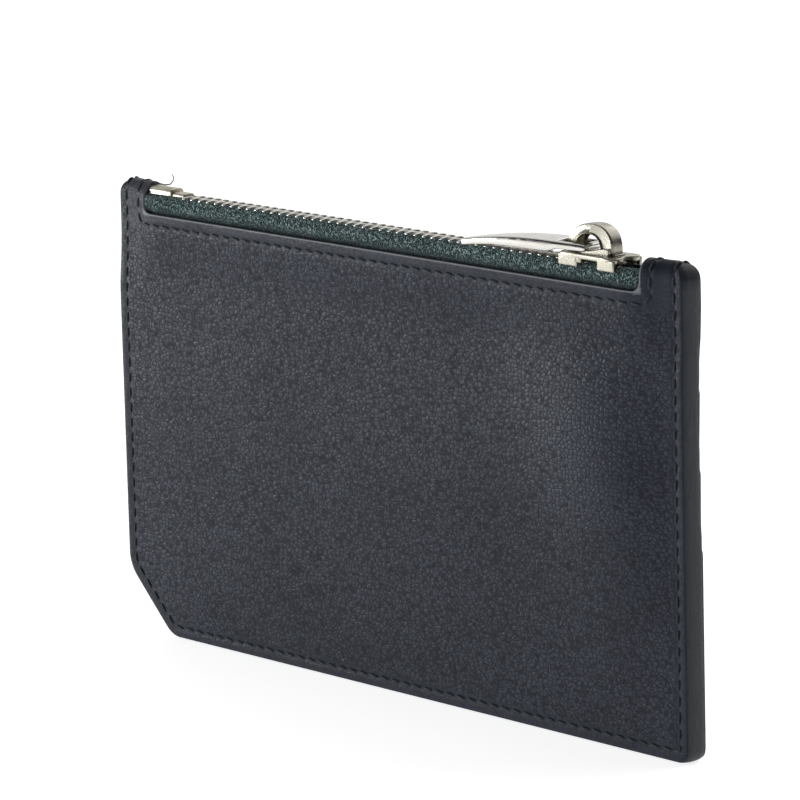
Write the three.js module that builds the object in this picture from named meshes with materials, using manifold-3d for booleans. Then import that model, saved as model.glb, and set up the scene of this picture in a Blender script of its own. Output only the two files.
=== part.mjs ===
// Zipped card holder: a flat leather pocket, folded over the top from one piece of leather, with a
// metal zip set in a window along the fold, three card slots on the back and one cut corner.
// Millimetres. X runs along the width, the front faces -Y, +Z is up and the bottom edge lies at z = 0.
import * as THREE from "three";
import { mergeVertices } from "three/addons/utils/BufferGeometryUtils.js";
import Module from "manifold-3d";

const wasm = await Module();
wasm.setup();

// ---- Driving dimensions ----
const WIDTH = 130;
const HEIGHT = 75;
const CHAMFER = 10.5; // the cut corner, at the bottom left seen from the front
const CHAMFER_UPPER_R = 6;
const CHAMFER_LOWER_R = 5;
const BOTTOM_RIGHT_R = 2.2;
const TOP_R = 3.4;
const LEATHER = 0.7;
const HALF_SHELL = 1.45; // half the folded leather's thickness, outside to outside
const CLEAR = 0.05; // air between layers that lie on each other
const WELT_THICK = 2 * (HALF_SHELL - LEATHER - CLEAR);
const WELT_WIDTH = 3.3;
const LINING = 0.13;
const LINING_TOP_Z = 69; // the top of the welt as well

// The zip window, and the swelling of the walls beside it
const WINDOW_HALF = 57;
const WINDOW_Z = 70.1;
const WINDOW_R = 1.5;
const FLARE = 1.25; // how far each wall stands off its flat plane at the window's edge
const FLARE_FROM_Z = 59;
const FLARE_FULL_X = 53.5;
const FLARE_NONE_X = 60.5;
const EAR_PUFF = 0.45;
const EAR_PUFF_FROM_Z = 60;
const ARCH_SPRING_Z = 72.4;

// Zip
const TAPE = 0.22;
const TAPE_BOTTOM_Z = 62;
const TAPE_TOP_Z = 72.2;
const TAPE_END_X = 61;
const TAPE_DOME = 0.55; // how far the tape swells out above the leather's edge
const PITCH = 1.97;
const TOOTH_COUNT = 48;
const TOOTH_THICK = 0.84;
const TOOTH_FOOT_Y = 2.05;
const TOOTH_REACH = 0.5; // how far a tooth's head passes the middle of the chain
const TOOTH_BOTTOM_Z = 71.65;
const TOOTH_TOP_Z = 73.45;
const CORD_Y = 1.55;
const CORD_SIZE = 0.7;
const CORD_Z = 72.2;
const FIRST_TOOTH_X = -47.3;
const CHAIN_END_X = 52;

// Zip stops
const BOTTOM_STOP_REAR = { x0: -56.5, x1: -51, half: 1.35, z0: 71.5, z1: 74.4 };
const BOTTOM_STOP_FRONT = { x0: -52, x1: -48.3, half: 1.1, z0: 71.7, z1: 73.9 };
const TOP_STOP = { x0: 50.4, x1: 52.4, inner: 1.15, outer: 2.0, z0: 71.75, z1: 73.35 };

// Slider and pull tab
const SLIDER_REAR_X = 40.3;
const SLIDER_NOSE_X = 52.7;
const PLATE_TOP_Z = 74.55;
const PLATE_THICK = 0.8;
const PLATE_REAR_HALF = 2.7;
const PLATE_NOSE_HALF = 3.1;
const BLOCK_BOTTOM_Z = 72.5;
const REAR_BLOCK_LENGTH = 3.9;
const NOSE_BLOCK_X = 48.9;
const CHANNEL_HALF = 2.15; // the room for the chain between the side blocks
const BASE_PLATE = { rearHalf: 1.8, noseHalf: 1.85, z0: 70.5, z1: 71.3 };
const POST = { tipX: 48.7, wideX: 50.3, wideHalf: 0.85, endHalf: 0.6 };
const PIVOT_X = 45.2;
const PIVOT_Z = 75.4;
const CROWN_HALF_Y = 1.2;
const CROWN_TOP_Z = 79;
const CROWN_FOOT_GAP = 0.05;
const CROWN_REAR = { outerX: 40.8, innerX: 42.7 };
const CROWN_NOSE = { outerX: 50.3, innerX: 47.8 };
const CROWN_EYE_TOP_Z = 77.25;
const TAB_ARM_HALF = 2.85;
const TAB_EYE_HALF = 1.95;
const TAB_EYE_FAR = -5.4;
const TAB_EYE_NEAR = -0.5;
const TAB_TIP_HALF = 1.25;
const TAB_LENGTH = 25; // from the pivot to the tip
const TAB_YAW = 6.5; // degrees that the slack tab lies off the line of the zip

// Card slots on the back, by the height of each mouth
const SLOT_MOUTHS = { upper: 57.5, middle: 45.5, lower: 33.5 };
const SLOT_THICK = 0.26;
const SLOT_STEP = 0.3;

// Seams
const SEAM_INSET = 1.9;
const ZIP_SEAM_INSET = 1.8;
const CORNER_R = 0.5; // corners that are hidden or cut off
const THREAD_WIDTH = 0.45;
const THREAD_PROUD = 0.2;
const THREAD_GAP = 0.03;
const SLOT_SEAM_DROP = 1.6; // from a slot's mouth down to its stitches
const SLOT_SEAM_SHORT = 1.2; // from the edge seam to the end of a slot's stitches

// Cutting blocks reach this far past the object
const FAR_X = 70;
const FAR_Y = 7;
const FAR_Z = 87;

// ---- Materials ----
const finish = (color, roughness, metalness = 0) =>
  new THREE.MeshStandardMaterial({ color, roughness, metalness });
const navyLeather = () => finish(0x2b313b, 0.55);
const slotLeather = () => finish(0x2d333e, 0.55);
const lining = () => finish(0x20262e, 0.9);
const tealTape = () => finish(0x16302f, 0.95);
const nickel = () => finish(0xc9c7c1, 0.22, 1);
const thread = () => finish(0x1c2530, 0.8);

// ---- Solids ----
// A closed three.js geometry as a solid that can be joined and cut.
function solid(geometry) {
  const bare = geometry.clone();
  bare.deleteAttribute("normal");
  bare.deleteAttribute("uv");
  const merged = mergeVertices(bare, 1e-4);
  return new wasm.Manifold(
    new wasm.Mesh({
      numProp: 3,
      vertProperties: merged.attributes.position.array,
      triVerts: new Uint32Array(merged.index.array),
    }),
  );
}

const join = (solids) => solids.reduce((all, one) => all.add(one));

const group = new THREE.Group();

function addNode(name, made, material) {
  const { vertProperties, triVerts } = made.getMesh();
  const geometry = new THREE.BufferGeometry();
  geometry.setAttribute("position", new THREE.BufferAttribute(vertProperties, 3));
  geometry.setIndex(new THREE.BufferAttribute(triVerts, 1));
  geometry.computeVertexNormals();
  const mesh = new THREE.Mesh(geometry, material);
  mesh.name = name;
  group.add(mesh);
  return mesh;
}

// A box between two corners.
function box(x0, x1, y0, y1, z0, z1) {
  const geometry = new THREE.BoxGeometry(x1 - x0, y1 - y0, z1 - z0);
  geometry.translate((x0 + x1) / 2, (y0 + y1) / 2, (z0 + z1) / 2);
  return solid(geometry);
}

// A shape drawn in X and Z, extruded along Y.
function prismY(shape, y0, y1, curveSegments = 6) {
  const geometry = new THREE.ExtrudeGeometry(shape, {
    depth: y1 - y0,
    bevelEnabled: false,
    curveSegments,
  });
  geometry.rotateX(Math.PI / 2);
  geometry.translate(0, y1, 0);
  return solid(geometry);
}

// A shape drawn in X and Y, extruded along Z.
function prismZ(shape, z0, z1, curveSegments = 6) {
  const geometry = new THREE.ExtrudeGeometry(shape, {
    depth: z1 - z0,
    bevelEnabled: false,
    curveSegments,
  });
  geometry.translate(0, 0, z0);
  return solid(geometry);
}

// A polygon with its corners rounded: corners are [x, z, radius], anticlockwise.
function roundedPolygon(corners) {
  const shape = new THREE.Shape();
  const count = corners.length;
  corners.forEach(([x, z, radius], i) => {
    const corner = new THREE.Vector2(x, z);
    const before = new THREE.Vector2(...corners[(i + count - 1) % count].slice(0, 2));
    const after = new THREE.Vector2(...corners[(i + 1) % count].slice(0, 2));
    const toBefore = before.sub(corner).normalize();
    const toAfter = after.sub(corner).normalize();
    const half = Math.acos(THREE.MathUtils.clamp(toBefore.dot(toAfter), -1, 1)) / 2;
    const cut = radius / Math.tan(half);
    const start = corner.clone().addScaledVector(toBefore, cut);
    const end = corner.clone().addScaledVector(toAfter, cut);
    if (i === 0) shape.moveTo(start.x, start.y);
    else shape.lineTo(start.x, start.y);
    if (cut > 0) shape.quadraticCurveTo(corner.x, corner.y, end.x, end.y);
  });
  shape.closePath();
  return shape;
}

// The flat outline of the card holder, drawn inset from its edge, up to the given height.
function outline(inset = 0, top = HEIGHT - inset, topRadius = TOP_R) {
  const side = WIDTH / 2 - inset;
  const cut = CHAMFER + inset * (Math.SQRT2 - 2);
  const round = (radius) => Math.max(radius - inset, 0.5);
  return roundedPolygon([
    [-side + cut, inset, round(CHAMFER_LOWER_R)],
    [side, inset, round(BOTTOM_RIGHT_R)],
    [side, top, topRadius],
    [-side, top, topRadius],
    [-side, inset + cut, round(CHAMFER_UPPER_R)],
  ]);
}

// ---- The folded wall: half its thickness at any place ----
function halfThickness(x, z) {
  const along = 1 - THREE.MathUtils.smoothstep(Math.abs(x), FLARE_FULL_X, FLARE_NONE_X);
  const up = THREE.MathUtils.smoothstep(z, FLARE_FROM_Z, WINDOW_Z);
  const ear = THREE.MathUtils.smoothstep(z, EAR_PUFF_FROM_Z, WINDOW_Z);
  return HALF_SHELL + FLARE * along * up + EAR_PUFF * ear * (1 - along);
}

// Sections along X that follow the flare, and heights that follow the flare and the arch.
const STATIONS_X = [-65, -62.5, -60.5, -58.7, -57, -55.2, -53.5, 53.5, 55.2, 57, 58.7, 60.5, 62.5, 65];
const STATIONS_Z = [0, 59, 61, 63, 65, 67, 68.5, 70.1, 71.3];

// A block whose vertices are moved to the given stations, then by a function of x, side and z.
function shapedBlock(stationsX, stationsZ, place) {
  const geometry = new THREE.BoxGeometry(1, 1, 1, stationsX.length - 1, 1, stationsZ.length - 1);
  const position = geometry.attributes.position;
  for (let i = 0; i < position.count; i++) {
    const x = stationsX[Math.round((position.getX(i) + 0.5) * (stationsX.length - 1))];
    const z = stationsZ[Math.round((position.getZ(i) + 0.5) * (stationsZ.length - 1))];
    position.setXYZ(i, x, place(x, Math.sign(position.getY(i)), z), z);
  }
  return solid(geometry);
}

// The solid inside a surface that lies `offset` outside the folded leather, arch included.
function foldedBody(offset) {
  const top = HEIGHT + offset;
  const archHeights = [0.35, 0.62, 0.82, 0.94, 1].map(
    (share) => ARCH_SPRING_Z + share * (top - ARCH_SPRING_Z),
  );
  const stationsZ = [-FAR_Y, ...STATIONS_Z.slice(1), ARCH_SPRING_Z, ...archHeights];
  const stationsX = [-FAR_X, ...STATIONS_X.slice(1, -1), FAR_X];
  return shapedBlock(stationsX, stationsZ, (x, side, z) => {
    const rise = Math.max(0, (z - ARCH_SPRING_Z) / (top - ARCH_SPRING_Z));
    const arch = Math.sqrt(1 - Math.min(rise, 0.97) ** 2);
    return side * (halfThickness(x, z) + offset) * arch;
  });
}

// A thin wall that lies `inside` the leather's outer face, on the front (-1) or the back (1).
function innerSheet(side, inside, thickness, z0, z1) {
  const stationsZ = [z0, ...STATIONS_Z.filter((z) => z > z0 && z < z1), z1];
  return shapedBlock(STATIONS_X, stationsZ, (x, face, z) => {
    const middle = halfThickness(x, Math.min(z, WINDOW_Z)) - inside - thickness / 2;
    return side * middle + (face * thickness) / 2;
  });
}

// ---- Outer shell: one piece of leather, folded over the top, with the zip window cut in the fold ----
function windowPrism(inset, y0, y1) {
  const half = WINDOW_HALF + inset;
  const z = WINDOW_Z - inset;
  const shape = roundedPolygon([
    [-half, z, WINDOW_R],
    [half, z, WINDOW_R],
    [half, FAR_Z, 0],
    [-half, FAR_Z, 0],
  ]);
  return prismY(shape, y0, y1, 4);
}

const outerBody = foldedBody(0);
const shellOutline = prismY(outline(), -FAR_Y, FAR_Y);
const shellSolid = outerBody
  .subtract(foldedBody(-LEATHER))
  .intersect(shellOutline)
  .subtract(windowPrism(0, -FAR_Y, FAR_Y));
addNode("outer_shell", shellSolid, navyLeather());

// ---- Seam welt: the strip between the walls that gives the edge its thickness ----
function seamWelt() {
  const thick = WELT_THICK / 2;
  const whole = prismY(outline(0, LINING_TOP_Z, CORNER_R), -thick, thick);
  const pocket = prismY(outline(WELT_WIDTH, FAR_Z, CORNER_R), -FAR_Y, FAR_Y);
  return whole.subtract(pocket);
}
addNode("seam_welt", seamWelt(), lining());

// ---- Pocket linings ----
const liningInside = LEATHER + CLEAR + TAPE + CLEAR;
const liningOutline = prismY(outline(WELT_WIDTH + 0.2, LINING_TOP_Z, CORNER_R), -FAR_Y, FAR_Y);
for (const [name, side] of [["front", -1], ["back", 1]]) {
  const sheet = innerSheet(side, liningInside, LINING, 0, LINING_TOP_Z);
  addNode("pocket_lining_" + name, sheet.intersect(liningOutline), lining());
}

// ---- Zip tapes: down inside the wall, and domed from the leather's edge up to the chain ----
function zipTape(side) {
  const domeHeights = [70.6, 71.1, 71.6, TAPE_TOP_Z];
  const insideHeights = STATIONS_Z.filter((z) => z > TAPE_BOTTOM_Z && z <= WINDOW_Z);
  const stationsZ = [TAPE_BOTTOM_Z, ...insideHeights, ...domeHeights];
  const sheet = shapedBlock(STATIONS_X, stationsZ, (x, face, z) => {
    const wall = halfThickness(x, Math.min(z, WINDOW_Z)) - LEATHER - CLEAR - TAPE / 2;
    const rise = Math.max(0, (z - WINDOW_Z) / (TAPE_TOP_Z - WINDOW_Z));
    const dome = TAPE_DOME * Math.sin(rise * Math.PI * 0.8);
    return side * (wall + dome) + (face * TAPE) / 2;
  });
  const end = WINDOW_HALF - WINDOW_R - 0.1;
  const endTopZ = WINDOW_Z - 0.6;
  return sheet
    .intersect(box(-TAPE_END_X, TAPE_END_X, -FAR_Y, FAR_Y, 0, HEIGHT))
    .subtract(box(-FAR_X, -end, -FAR_Y, FAR_Y, endTopZ, HEIGHT))
    .subtract(box(end, FAR_X, -FAR_Y, FAR_Y, endTopZ, HEIGHT));
}
addNode("zip_tape_front", zipTape(-1), tealTape());
addNode("zip_tape_back", zipTape(1), tealTape());

// ---- Zip teeth: each row clamped on its cord, the two rows half a pitch apart ----
function zipTeeth(side) {
  const first = FIRST_TOOTH_X + (side > 0 ? PITCH / 2 : 0);
  const cordY = side * CORD_Y;
  const half = CORD_SIZE / 2;
  const cord = box(first - 0.6, CHAIN_END_X, cordY - half, cordY + half, CORD_Z - half, CORD_Z + half);
  const teeth = [cord];
  for (let i = 0; i < TOOTH_COUNT; i++) {
    const x = first + i * PITCH;
    const foot = side * TOOTH_FOOT_Y;
    const head = -side * TOOTH_REACH;
    teeth.push(
      box(
        x - TOOTH_THICK / 2,
        x + TOOTH_THICK / 2,
        Math.min(foot, head),
        Math.max(foot, head),
        TOOTH_BOTTOM_Z,
        TOOTH_TOP_Z,
      ),
    );
  }
  return join(teeth);
}
addNode("zip_teeth_front", zipTeeth(-1), nickel());
addNode("zip_teeth_back", zipTeeth(1), nickel());

// ---- Zip stops: one at the left end across both rows, and one on each row inside the slider's nose ----
function bottomStop() {
  const plates = [BOTTOM_STOP_REAR, BOTTOM_STOP_FRONT];
  return join(plates.map(({ x0, x1, half, z0, z1 }) => box(x0, x1, -half, half, z0, z1)));
}
addNode("zip_bottom_stop", bottomStop(), nickel());

function topStop(side) {
  const { x0, x1, inner, outer, z0, z1 } = TOP_STOP;
  const near = Math.min(side * inner, side * outer);
  const clamp = box(x0, x1, near, near + outer - inner, z0, z1);
  const half = CORD_SIZE / 2 + CLEAR;
  const cordY = side * CORD_Y;
  return clamp.subtract(box(x0 - 1, x1 + 1, cordY - half, cordY + half, CORD_Z - half, CORD_Z + half));
}
addNode("zip_top_stop_front", topStop(-1), nickel());
addNode("zip_top_stop_back", topStop(1), nickel());

// ---- Slider body: top plate with side blocks, wedge post and bottom plate, cast in one ----
// The outline of a plate in plan: narrower at the rear, with two rounded lobes at the nose.
function platePlan(rearHalf, noseHalf, rearX, noseX) {
  const shape = new THREE.Shape();
  const waistX = rearX + 0.55 * (noseX - rearX);
  shape.moveTo(rearX, -rearHalf + 0.5);
  shape.quadraticCurveTo(rearX, -rearHalf, rearX + 0.6, -rearHalf);
  shape.lineTo(waistX, -rearHalf - 0.08);
  shape.quadraticCurveTo(noseX - 1.5, -noseHalf, noseX - 0.9, -noseHalf);
  shape.quadraticCurveTo(noseX, -noseHalf, noseX, -noseHalf + 0.9);
  shape.quadraticCurveTo(noseX - 0.2, -0.9, noseX - 0.9, 0);
  shape.quadraticCurveTo(noseX - 0.2, 0.9, noseX, noseHalf - 0.9);
  shape.quadraticCurveTo(noseX, noseHalf, noseX - 0.9, noseHalf);
  shape.quadraticCurveTo(noseX - 1.5, noseHalf, waistX, rearHalf + 0.08);
  shape.lineTo(rearX + 0.6, rearHalf);
  shape.quadraticCurveTo(rearX, rearHalf, rearX, rearHalf - 0.5);
  shape.closePath();
  return shape;
}

function sliderBody() {
  const plateBottom = PLATE_TOP_Z - PLATE_THICK;
  const plan = platePlan(PLATE_REAR_HALF, PLATE_NOSE_HALF, SLIDER_REAR_X, SLIDER_NOSE_X);
  const basePlan = platePlan(
    BASE_PLATE.rearHalf,
    BASE_PLATE.noseHalf,
    SLIDER_REAR_X + 0.3,
    SLIDER_NOSE_X - 0.4,
  );
  const topPlate = prismZ(plan, plateBottom, PLATE_TOP_Z, 3);
  const basePlate = prismZ(basePlan, BASE_PLATE.z0, BASE_PLATE.z1, 3);
  const wall = prismZ(plan, BLOCK_BOTTOM_Z, plateBottom + 0.1, 3);
  const channel = box(-FAR_X, FAR_X, -CHANNEL_HALF, CHANNEL_HALF, BASE_PLATE.z0, plateBottom);
  const rearEnd = SLIDER_REAR_X + REAR_BLOCK_LENGTH;
  const noseEnd = SLIDER_NOSE_X - 0.35;
  const rearBlocks = box(SLIDER_REAR_X, rearEnd, -FAR_Y, FAR_Y, BASE_PLATE.z0, HEIGHT);
  const noseBlocks = box(NOSE_BLOCK_X, noseEnd, -FAR_Y, FAR_Y, BASE_PLATE.z0, HEIGHT);
  const blocks = wall.intersect(rearBlocks.add(noseBlocks)).subtract(channel);
  const postEnd = SLIDER_NOSE_X - 1;
  const post = new THREE.Shape();
  post.moveTo(POST.tipX, 0);
  post.lineTo(POST.wideX, -POST.wideHalf);
  post.lineTo(postEnd, -POST.endHalf);
  post.lineTo(postEnd, POST.endHalf);
  post.lineTo(POST.wideX, POST.wideHalf);
  post.closePath();
  const postSolid = prismZ(post, BASE_PLATE.z1 - 0.3, PLATE_TOP_Z - 0.2);
  return join([topPlate, blocks, postSolid, basePlate]);
}
addNode("slider_body", sliderBody(), nickel());

// ---- Crown: the flat D-shaped arch over the slider that the pull tab swings on ----
function crown() {
  const foot = PLATE_TOP_Z + CROWN_FOOT_GAP;
  const outerRear = CROWN_REAR.outerX;
  const outerNose = CROWN_NOSE.outerX;
  const innerRear = CROWN_REAR.innerX;
  const innerNose = CROWN_NOSE.innerX;
  const outerTopX = 46.2;
  const innerTopX = 45.3;
  const outerSpringZ = CROWN_TOP_Z - 1.6;
  const innerSpringZ = CROWN_EYE_TOP_Z - 0.85;
  const arch = new THREE.Shape();
  arch.moveTo(outerRear, foot);
  arch.bezierCurveTo(outerRear, outerSpringZ, outerTopX - 3.2, CROWN_TOP_Z, outerTopX, CROWN_TOP_Z);
  arch.bezierCurveTo(outerTopX + 3.2, CROWN_TOP_Z, outerNose + 0.3, outerSpringZ, outerNose, foot);
  arch.lineTo(innerNose, foot);
  arch.bezierCurveTo(innerNose, innerSpringZ, innerTopX + 1.6, CROWN_EYE_TOP_Z, innerTopX, CROWN_EYE_TOP_Z);
  arch.bezierCurveTo(innerTopX - 1.6, CROWN_EYE_TOP_Z, innerRear, innerSpringZ, innerRear, foot);
  arch.closePath();
  return prismY(arch, -CROWN_HALF_Y, CROWN_HALF_Y, 7);
}
addNode("slider_crown", crown(), nickel());

// ---- Pull tab: a leaf-shaped bar with an eye, drawn around its pivot and turned by its slack ----
function pullTab() {
  const armHalf = TAB_ARM_HALF;
  const heel = 0.6;
  const heelR = 0.4;
  const shoulder = -5.5;
  // Plan of the tab, X along its length and Y across
  const plan = new THREE.Shape();
  plan.moveTo(heel, -armHalf + heelR);
  plan.lineTo(heel, armHalf - heelR);
  plan.quadraticCurveTo(heel, armHalf, heel - heelR, armHalf);
  plan.lineTo(shoulder, armHalf);
  plan.quadraticCurveTo(-TAB_LENGTH / 2, armHalf - 0.15, -TAB_LENGTH, TAB_TIP_HALF);
  plan.lineTo(-TAB_LENGTH, -TAB_TIP_HALF);
  plan.quadraticCurveTo(-TAB_LENGTH / 2, 0.15 - armHalf, shoulder, -armHalf);
  plan.lineTo(heel - heelR, -armHalf);
  plan.quadraticCurveTo(heel, -armHalf, heel, -armHalf + heelR);
  const eye = new THREE.Path();
  eye.moveTo(TAB_EYE_NEAR, -TAB_EYE_HALF);
  eye.lineTo(TAB_EYE_NEAR, TAB_EYE_HALF);
  eye.lineTo(TAB_EYE_FAR, TAB_EYE_HALF);
  eye.lineTo(TAB_EYE_FAR, -TAB_EYE_HALF);
  eye.closePath();
  plan.holes.push(eye);
  // Side view of the tab: thick in the middle, thin at the tip and at the eye
  const past = -TAB_LENGTH - 0.1;
  const bar = 0.5;
  const profile = new THREE.Shape();
  profile.moveTo(bar / 2, -bar);
  profile.quadraticCurveTo(1.5 * bar, 0, bar / 2, bar);
  profile.lineTo(-5, 0.55);
  profile.quadraticCurveTo(-14, 0.85, past, -1.05);
  profile.lineTo(past, -2.0);
  profile.quadraticCurveTo(-17, -0.8, -10, -1.05);
  profile.lineTo(-6.6, -1.0);
  profile.lineTo(-5.2, -bar);
  profile.closePath();
  return prismZ(plan, -FAR_Y, FAR_Y, 8).intersect(prismY(profile, -FAR_Y, FAR_Y, 8));
}
const tabMesh = addNode("pull_tab", pullTab(), nickel());
tabMesh.position.set(PIVOT_X, 0, PIVOT_Z);
tabMesh.rotation.z = THREE.MathUtils.degToRad(TAB_YAW);

// ---- Card slots: three panels on the back, each one step further out and lower ----
const slotNames = Object.keys(SLOT_MOUTHS);
const slotFace = (i) => HALF_SHELL + CLEAR + i * SLOT_STEP;
slotNames.forEach((name, i) => {
  const shape = outline(0, SLOT_MOUTHS[name], 0);
  const panel = prismY(shape, slotFace(i), slotFace(i) + SLOT_THICK);
  addNode("card_slot_" + name, panel.subtract(foldedBody(CLEAR * 0.8)), slotLeather());
});

// ---- Threads: strips that lie on the leather along each seam ----
// Everything within `offset` of the outside, card slots included.
function wrapped(offset) {
  const slots = slotNames.map((name, i) =>
    box(-FAR_X, FAR_X, 0, slotFace(i) + SLOT_THICK + offset, -FAR_Y, SLOT_MOUTHS[name] + offset),
  );
  return join([foldedBody(offset), ...slots]);
}
const threadSkin = wrapped(THREAD_GAP + THREAD_PROUD).subtract(wrapped(THREAD_GAP));

// A seam's path seen from the front: the border between two insets of the same outline.
function border(shapeAt, inset) {
  const half = THREAD_WIDTH / 2;
  return shapeAt(inset - half).subtract(shapeAt(inset + half));
}
const perimeterPath = border(
  (inset) => prismY(outline(inset, FAR_Z, CORNER_R), -FAR_Y, FAR_Y),
  SEAM_INSET,
);
const perimeter = perimeterPath.intersect(threadSkin);
const frontHalf = box(-FAR_X, FAR_X, -FAR_Y, -0.2, -FAR_Y, HEIGHT + 5);
const backHalf = box(-FAR_X, FAR_X, 0.2, FAR_Y, -FAR_Y, HEIGHT + 5);
addNode("perimeter_thread_front", perimeter.intersect(frontHalf), thread());
addNode("perimeter_thread_back", perimeter.intersect(backHalf), thread());

const zipSeamPath = border((inset) => windowPrism(-inset, -FAR_Y, FAR_Y), -ZIP_SEAM_INSET);
addNode("zip_seam_thread", zipSeamPath.intersect(threadSkin), thread());

slotNames.forEach((name, i) => {
  const y = slotFace(i) + SLOT_THICK + THREAD_GAP;
  const z = SLOT_MOUTHS[name] - SLOT_SEAM_DROP;
  const end = WIDTH / 2 - SEAM_INSET - SLOT_SEAM_SHORT;
  const strip = box(-end, end, y, y + THREAD_PROUD, z - THREAD_WIDTH / 2, z + THREAD_WIDTH / 2);
  addNode("slot_thread_" + name, strip, thread());
});

export default group;
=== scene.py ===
import math

import bmesh
import bpy
import numpy as np
from mathutils import Matrix, Vector


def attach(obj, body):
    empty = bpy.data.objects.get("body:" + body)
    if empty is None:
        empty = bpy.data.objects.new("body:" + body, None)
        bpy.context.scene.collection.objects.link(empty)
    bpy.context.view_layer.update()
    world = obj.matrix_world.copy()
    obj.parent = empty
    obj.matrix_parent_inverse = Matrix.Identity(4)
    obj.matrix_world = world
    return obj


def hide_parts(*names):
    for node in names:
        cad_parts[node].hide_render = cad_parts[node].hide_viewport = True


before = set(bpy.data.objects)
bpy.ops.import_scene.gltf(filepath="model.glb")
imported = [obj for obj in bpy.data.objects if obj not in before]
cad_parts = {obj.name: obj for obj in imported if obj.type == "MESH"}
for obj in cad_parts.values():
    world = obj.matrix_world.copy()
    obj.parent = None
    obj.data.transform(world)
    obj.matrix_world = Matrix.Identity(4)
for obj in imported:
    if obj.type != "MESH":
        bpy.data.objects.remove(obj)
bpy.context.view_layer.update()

MM = 0.001

# ---- Camera ----
VIEW_AZIMUTH, VIEW_ELEVATION, VIEW_ROLL = 48.303, 11.176, -1.465
VIEW_AIM = (-5.92, 6.60, 44.58)
VIEW_DISTANCE = 829.5
VIEW_LENS = 238.7

# ---- The card holder's own dimensions, as in the frame ----
HALF_WIDTH, HEIGHT = 65.0, 75.0
CHAMFER, CHAMFER_UPPER_R, CHAMFER_LOWER_R = 10.5, 6.0, 5.0
BOTTOM_RIGHT_R, TOP_R = 2.2, 3.4
CUT_UPPER_BLEND, CUT_LOWER_BLEND = 1.76, 1.46
HALF_SHELL, LEATHER = 1.45, 0.7
WINDOW_HALF, WINDOW_Z, WINDOW_R = 57.0, 70.1, 1.5
FLARE, FLARE_FROM_Z, FLARE_FULL_X, FLARE_NONE_X = 1.25, 59.0, 53.5, 60.5
EAR_PUFF, EAR_PUFF_FROM_Z = 0.45, 60.0
ARCH_SPRING_Z, ARCH_LENGTH = 72.4, 7.1
ARCH_RISE = HEIGHT - ARCH_SPRING_Z
FOLD_TOP = ARCH_SPRING_Z + ARCH_LENGTH / 2
FOLD_LENGTH = 2 * FOLD_TOP
SEAM_INSET, ZIP_SEAM_INSET, ZIP_SEAM_R = 1.9, 1.8, 2.2
SLOT_SEAM_DROP, SLOT_SEAM_SHORT = 1.6, 1.2
STITCH_PITCH, STITCH_LENGTH, STITCH_HALF, STITCH_SLANT = 2.5, 1.95, 0.19, 0.12
SLOT_MOUTHS = {"upper": 57.5, "middle": 45.5, "lower": 33.5}
SLOT_CLEAR, SLOT_STEP, SLOT_THICK = 0.05, 0.30, 0.26
PITCH, TOOTH_COUNT, FIRST_TOOTH_X, CHAIN_END_X = 1.97, 48, -47.3, 52.0
TOOTH_HALF, CORD_Y, CORD_Z, CORD_R = 0.31, 1.55, 72.25, 0.42
PLATE_TOP_Z = 74.55
PIVOT = (45.2, 0.0, 75.4)
TAB_LENGTH, TAB_YAW = 25.0, 6.5
TAPE_END_X, TAPE_THICK, TAPE_FLAT_HEIGHT = 61.0, 0.2, 12.2
DOME_END_X = WINDOW_HALF - 0.35
LINING_END_X, LINING_LOW_Z, LINING_TOP_Z, LINING_THICK = 61.3, 3.6, 69.0, 0.13

# ---- How the leather swells, leans and is pulled in: heights over the flat wall, and where ----
FACE_PUFF, PUFF_REACH = 0.30, 5.5
FRONT_SWELLS = [  # height, centre, radii, turn
    (1.75, (46.5, 45), (13.5, 23), 24),
    (-0.30, (24.5, 63), (11, 7), -20),
    (0.22, (12, 40), (22, 18), 30),
    (-0.12, (-20, 15), (26, 12), 0),
    (0.16, (-42, 40), (20, 26), 0),
    (-0.14, (58, 14), (9, 14), 0),
]
BACK_SWELLS = [(0.10, (-10, 30), (40, 18), 0)]
GROOVE_DEPTH, GROOVE_HALF = 0.07, 0.38
BANK_HEIGHT, BANK_AT, BANK_HALF = 0.015, 0.9, 0.45
HOLE_DEPTH, HOLE_HALF = 0.07, 0.34
LEAN_FROM_X, LEAN_FULL_X = 57.5, 64.0
LEAN_FROM_Z, LEAN_FULL_Z, LEAN_LEFT, LEAN_RIGHT = 56.0, 70.0, 1.15, 0.62
BACK_LEAN_Z, BACK_LEAN = [38, 45.5, 54.6, 63.6, 70], [0.0, 0.12, 0.40, 0.92, 0.80]

# ---- How finely the surfaces are drawn ----
PATH_STEP = 0.25
STRIP, STRIP_COLUMNS, MIDDLE_COLUMNS = 8.0, 25, 183
ROWS_AT_FOOT = [0.18, 0.24, 0.38, 0.60, 0.87, 1.15]


def clamp01(t):
    return np.clip(t, 0.0, 1.0)


def smoothstep(v, low, high):
    t = clamp01((np.asarray(v, float) - low) / (high - low))
    return t * t * (3 - 2 * t)


def hill(x, z, centre, radii, turn=0.0):
    """A round hill of height 1, its axes turned by so many degrees."""
    c, s = math.cos(math.radians(turn)), math.sin(math.radians(turn))
    dx, dz = x - centre[0], z - centre[1]
    u, v = (c * dx + s * dz) / radii[0], (-s * dx + c * dz) / radii[1]
    return np.exp(-u * u - v * v)


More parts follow.
